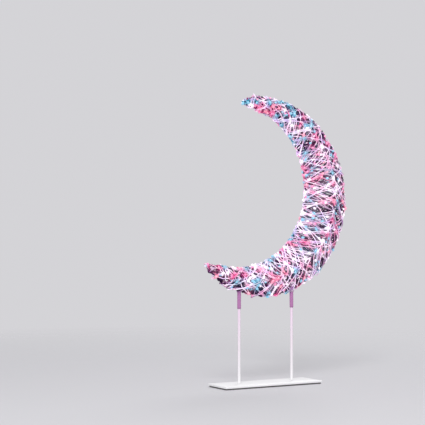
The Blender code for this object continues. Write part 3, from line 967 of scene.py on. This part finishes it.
def drop_tree():
    sockets = [
        ("Drop Length", "Float", DROP_LENGTH),
        ("Drop Width", "Float", DROP_WIDTH),
        ("Seed", "Int", FIRST_DROP_SEED),
        ("Surface", "Material", None),
    ]
    graph = GeometryGraph("light_drops", sockets)
    inputs = {"Segments": 8, "Rings": 6, "Radius": 0.5}
    ball = graph.node("GeometryNodeMeshUVSphere", {}, inputs)
    width = graph.given.output("Drop Width")
    length = graph.given.output("Drop Length")
    size = graph.node("ShaderNodeCombineXYZ", {}, {"X": width, "Y": width, "Z": length})
    swell = graph.random(*DROP_PLAY, graph.given.output("Seed"))
    scaled = {0: size, "Scale": swell}
    inputs = {"Vector": graph.named("along", "FLOAT_VECTOR")}
    inputs = {
        "Points": graph.given,
        "Instance": ball,
        "Rotation": graph.node("FunctionNodeAlignRotationToVector", {"axis": "Z"}, inputs),
        "Scale": graph.node("ShaderNodeVectorMath", {"operation": "SCALE"}, scaled),
    }
    return graph.finished(graph.node("GeometryNodeInstanceOnPoints", {}, inputs))


# %% Tree for the string's wire
STRING_DIAMETER = 0.0015
STRING_SIDES = 6
PICKED_FROM = (0.0, 0.25, 0.34, 0.65)
CAST_COLOURS = ((0.62, 0.03, 0.19), (0.68, 0.12, 0.24), (0.02, 0.27, 0.38), (0.86, 0.76, 0.88))
GLOW_REACH = 0.0085
GLOW_END = 1.4
SOFTENING = 3


def nearest_light_colour(graph, lights):
    """The colour of the light that lies nearest to each point."""
    nearest = graph.node("GeometryNodeSampleNearest", {"domain": "POINT"}, {"Geometry": lights})
    settings = {"data_type": "FLOAT", "domain": "POINT"}
    inputs = {"Geometry": lights, "Value": graph.named("pick"), "Index": nearest}
    pick = graph.node("GeometryNodeSampleIndex", settings, inputs)
    return graph.ramp(pick, list(zip(PICKED_FROM, CAST_COLOURS)), stepped=True)


def string_wire_tree():
    sockets = [
        ("Wire Diameter", "Float", STRING_DIAMETER),
        ("Glow Reach", "Float", GLOW_REACH),
        ("Softening", "Int", SOFTENING),
        ("Lights", "Object", None),
        ("Surface", "Material", None),
    ]
    graph = GeometryGraph("string_wire", sockets)
    given = graph.given
    inputs = {0: given.output("Lights")}
    lights = graph.node("GeometryNodeObjectInfo", {}, inputs, out="Geometry")
    settings = {"target_element": "POINTS"}
    away = graph.node("GeometryNodeProximity", settings, {0: lights}, out="Distance")
    cast = nearest_light_colour(graph, lights)
    inputs = {"Value": cast, "Iterations": given.output("Softening")}
    shine = graph.node("GeometryNodeBlurAttribute", {"data_type": "FLOAT_COLOR"}, inputs)
    # The glow and shine kept here are the lights' painted glow on the wire.
    glow = (GLOW_END - away / given.output("Glow Reach")).clamped()
    path = graph.store(graph.path(), "glow", glow)
    path = graph.store(path, "shine", shine, "FLOAT_COLOR")
    return graph.finished(graph.swept(path, STRING_SIDES, given.output("Wire Diameter")))


place_tree = light_place_tree()
resin_tree = drop_tree()
string_tree = string_wire_tree()
print("trees", place_tree.name, resin_tree.name, string_tree.name)

# %% [markdown]
# A lit string reads as a web of nearly white strands over soft patches of colour. The pick of each
# light goes through stepped colour stops: about a third are white, a third sky blue, and the rest
# pink red and coral. The drop shows its colour purer than the strands around it do. The strands'
# colours are painted light and shade: strands near the surface are pinkish white with painted pink
# and lilac glow, those below go through plum to a deep painted shade, where the winding shades
# itself, and the layer just under the surface takes a light's painted glow most. The drops glow by
# their own colour as the lights they are, and the wire's glow is painted, so the string looks lit
# from every side with no lamp hidden in it.

# %% Lit wire
# The wire is near white; its pink and lilac are painted glow of the lights, and the middle and deep
# colours are painted shade of the winding.
WIRE_PALE = (0.93, 0.87, 0.95)
WIRE_LILAC_GLOW = (0.64, 0.46, 0.76)
WIRE_PINK_GLOW = (0.80, 0.42, 0.62)
WIRE_SHADE_MIDDLE = (0.22, 0.05, 0.21)
WIRE_SHADE_DEEP = (0.016, 0.003, 0.026)
GLOW_TINT_PATCH = 0.010
GLOW_TINT_STOPS = ((0.40, WIRE_PINK_GLOW), (0.48, WIRE_PALE), (0.60, WIRE_LILAC_GLOW))
SHADE_COLOUR_STOPS = ((0.52, WIRE_SHADE_DEEP), (0.74, WIRE_SHADE_MIDDLE))
SHADE_STOPS = ((0.62, (1, 1, 1)), (0.88, (0, 0, 0)))
GLOW_TAKEN_STOPS = ((0.45, (0.2,) * 3), (0.65, (0.95,) * 3), (1.0, (0.75,) * 3))
GLOW_FALL = 0.7
WIRE_PAINTED_GLOW = 0.56


def lit_wire():
    finish = Finish("lit_string_wire")
    rise = finish.kept("rise")
    # The pink and lilac patches on the strands are painted glow of the lights.
    painted_tint = finish.ramp(finish.noise(GLOW_TINT_PATCH), GLOW_TINT_STOPS)
    # Deeper strands get a painted shade, from plum to a deep shade.
    shade = finish.ramp(rise, SHADE_STOPS)
    under = finish.ramp(rise, SHADE_COLOUR_STOPS)
    strand = finish.mix(shade, painted_tint, under)
    # The glow of the nearest light is painted onto the strand, most on the layer just under the
    # surface.
    glow = finish.kept("glow")
    glow_taken = finish.ramp(rise, GLOW_TAKEN_STOPS)
    painted_glow_share = glow * (1 - GLOW_FALL + GLOW_FALL * glow) * glow_taken
    colour = finish.mix(painted_glow_share.clamped(), strand, finish.kept("shine", "Color"))
    finish.set(Base_Color=colour, Roughness=0.45, Specular_IOR_Level=0.08)
    # The wire glows with its painted colour, though it is no lamp.
    finish.set(Emission_Color=colour, Emission_Strength=WIRE_PAINTED_GLOW)
    return finish.material


# %% Lit resin
DROP_COLOURS = ((0.66, 0.07, 0.30), (0.74, 0.18, 0.30), (0.04, 0.38, 0.56), (0.84, 0.74, 0.86))
DROP_MILK = (0.95, 0.90, 0.95)
DROP_CLOUD = 0.0012
MILK_LEAST = 0.08
MILK_VARIES = 0.26
LIT_RESIN = 0.6


def lit_resin():
    finish = Finish("lit_resin_drop")
    stops = list(zip(PICKED_FROM, DROP_COLOURS))
    picked = finish.ramp(finish.kept("pick"), stops, stepped=True)
    milk = MILK_LEAST + MILK_VARIES * finish.noise(DROP_CLOUD, detail=1.0)
    colour = finish.mix(milk, picked, DROP_MILK)
    finish.set(Base_Color=colour, Roughness=0.12, Coat_Weight=0.6)
    finish.set(Emission_Color=colour, Emission_Strength=LIT_RESIN)
    return finish.material


wire_finish = lit_wire()
drop_finish = lit_resin()
print("string finishes", wire_finish.name, drop_finish.name)

# %% [markdown]
# The lights are placed first, over both strings. Those that lie near the surface are gathered into
# one object of points, since each string's wire takes its colour from the lights of both.

# %% Place the lights
OUTER_LIGHTS_FROM = 0.45

light_meshes = {}
for seed, (node, (points, rises)) in enumerate(paths.items(), start=FIRST_LIGHT_SEED):
    values = {"Light Count": LIGHTS_PER_STRING, "Seed": seed}
    source = chain(f"{node}_lights_path", points, attributes={"rise": rises})
    light_meshes[node] = evaluated(source, place_tree, values)
    print(node, len(light_meshes[node].vertices), "lights")

places = []
picks = []
for mesh in light_meshes.values():
    kept = mesh.attributes
    for vertex, pick, rise in zip(mesh.vertices, kept["pick"].data, kept["rise"].data):
        if rise.value > OUTER_LIGHTS_FROM:
            places.append(vertex.co.copy())
            picks.append(pick.value)
outer_lights = point_object("outer_lights", places, attributes={"pick": picks})
print(len(places), "lights lie near the surface")

# %% Wind both strings
wire_values = {
    "Wire Diameter": STRING_DIAMETER,
    "Glow Reach": GLOW_REACH,
    "Softening": SOFTENING,
    "Lights": outer_lights,
    "Surface": wire_finish,
}
drop_values = {"Drop Length": DROP_LENGTH, "Drop Width": DROP_WIDTH, "Surface": drop_finish}
for seed, (node, (points, rises)) in enumerate(paths.items(), start=FIRST_DROP_SEED):
    source = chain(f"{node}_path", points, attributes={"rise": rises})
    grown(f"{node}_wire", source, string_tree, wire_values, "light_string", node)
    source = added(f"{node}_light_places", light_meshes[node])
    values = {**drop_values, "Seed": seed}
    grown(f"{node}_drops", source, resin_tree, values, "light_string", node)
bpy.data.objects.remove(outer_lights, do_unlink=True)

# %% [markdown]
# The studio is a pale floor that fades out into a pale background, so no horizon cuts through the
# moon. The background shows to the camera, in mirrors and through glass, while the room itself
# lights the scene at a lower level.

# %% Floor and background
BACKGROUND = (0.66, 0.655, 0.68)
AMBIENT = (0.50, 0.50, 0.51)
FLOOR_SIZE = 6.0
FLOOR_FADE_FROM = 0.5
FLOOR_FADE_TO = 1.5


def pale_floor():
    finish = Finish("pale_floor")
    finish.set(Base_Color=BACKGROUND, Roughness=0.9)
    settings = {"operation": "LENGTH"}
    flat = finish.node("ShaderNodeVectorMath", settings, {0: finish.place}, out="Value")
    fade = ((flat - FLOOR_FADE_FROM) / (FLOOR_FADE_TO - FLOOR_FADE_FROM)).clamped()
    clear = finish.node("ShaderNodeBsdfTransparent")
    shader = Signal(finish, finish.shader.outputs[0])
    blended = finish.node("ShaderNodeMixShader", {}, {0: fade, 1: shader, 2: clear})
    finish.feed(finish.tree.nodes["Material Output"].inputs["Surface"], blended)
    return finish.material


bm = bmesh.new()
bmesh.ops.create_grid(bm, x_segments=1, y_segments=1, size=FLOOR_SIZE / 2)
floor_mesh = bpy.data.meshes.new("floor")
bm.to_mesh(floor_mesh)
bm.free()
floor_mesh.materials.append(pale_floor())
floor = added("floor", floor_mesh)
floor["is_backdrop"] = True

# %% The room
world = bpy.data.worlds.new("pale_room")
bpy.context.scene.world = world
world.use_nodes = True
sky = Graph(world.node_tree)
ray = sky.node("ShaderNodeLightPath", out="Is Camera Ray")
seen = (ray + ray.output("Is Glossy Ray") + ray.output("Is Transmission Ray")).clamped()
sky.feed(world.node_tree.nodes["Background"].inputs["Color"], sky.mix(seen, AMBIENT, BACKGROUND))

# %% [markdown]
# Two large soft lamps, in front and behind, give the wires a lit side. Both are aimed at the
# middle of the object.

# %% Lamps
LAMP_SIZE = 1.2
KEY_PLACE = (-1.3, -1.9, 1.9)
KEY_POWER = 46
RIM_PLACE = (1.6, 1.2, 1.8)
RIM_POWER = 16
AIM_SHARE = 0.7


def soft_lamp(name, place, power):
    """A square area lamp that faces the middle of the object."""
    data = bpy.data.lights.new(name, "AREA")
    data.shape = "SQUARE"
    data.size = LAMP_SIZE
    data.energy = power
    lamp = added(name, data)
    lamp.location = place
    target = Vector((0, 0, OUTER_CENTRE.z * AIM_SHARE))
    lamp.rotation_mode = "QUATERNION"
    lamp.rotation_quaternion = (target - lamp.location).to_track_quat("-Z", "Y")


soft_lamp("key_lamp", KEY_PLACE, KEY_POWER)
soft_lamp("rim_lamp", RIM_PLACE, RIM_POWER)

# %% [markdown]
# The camera stands where the photograph was taken from: to the left of the panel that shows the
# moon, a little above the base plate, looking past the object with a long lens. The photograph is
# square, and the moon lies right of its middle, so the camera keeps that framing with no shift.

# %% Camera
FRAME_PIXELS = 425
FOCAL_PIXELS = 1117
SENSOR = 36.0
CAMERA_PLACE = Vector((-0.952, -1.465, 0.202))
CAMERA_TURN = math.radians(-30.3)
CAMERA_TILT = math.radians(2.19)
camera_data = bpy.data.cameras.new("camera")
camera_data.sensor_width = SENSOR
camera_data.lens = SENSOR * FOCAL_PIXELS / FRAME_PIXELS
camera = added("camera", camera_data)
camera.location = CAMERA_PLACE
camera.rotation_euler = (math.pi / 2 + CAMERA_TILT, 0, CAMERA_TURN)
bpy.context.scene.camera = camera
bpy.context.scene.view_settings.view_transform = "Standard"

# %% Print the object's size
low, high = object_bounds()
print("visual box", [round(value, 4) for value in (*low, *high)])
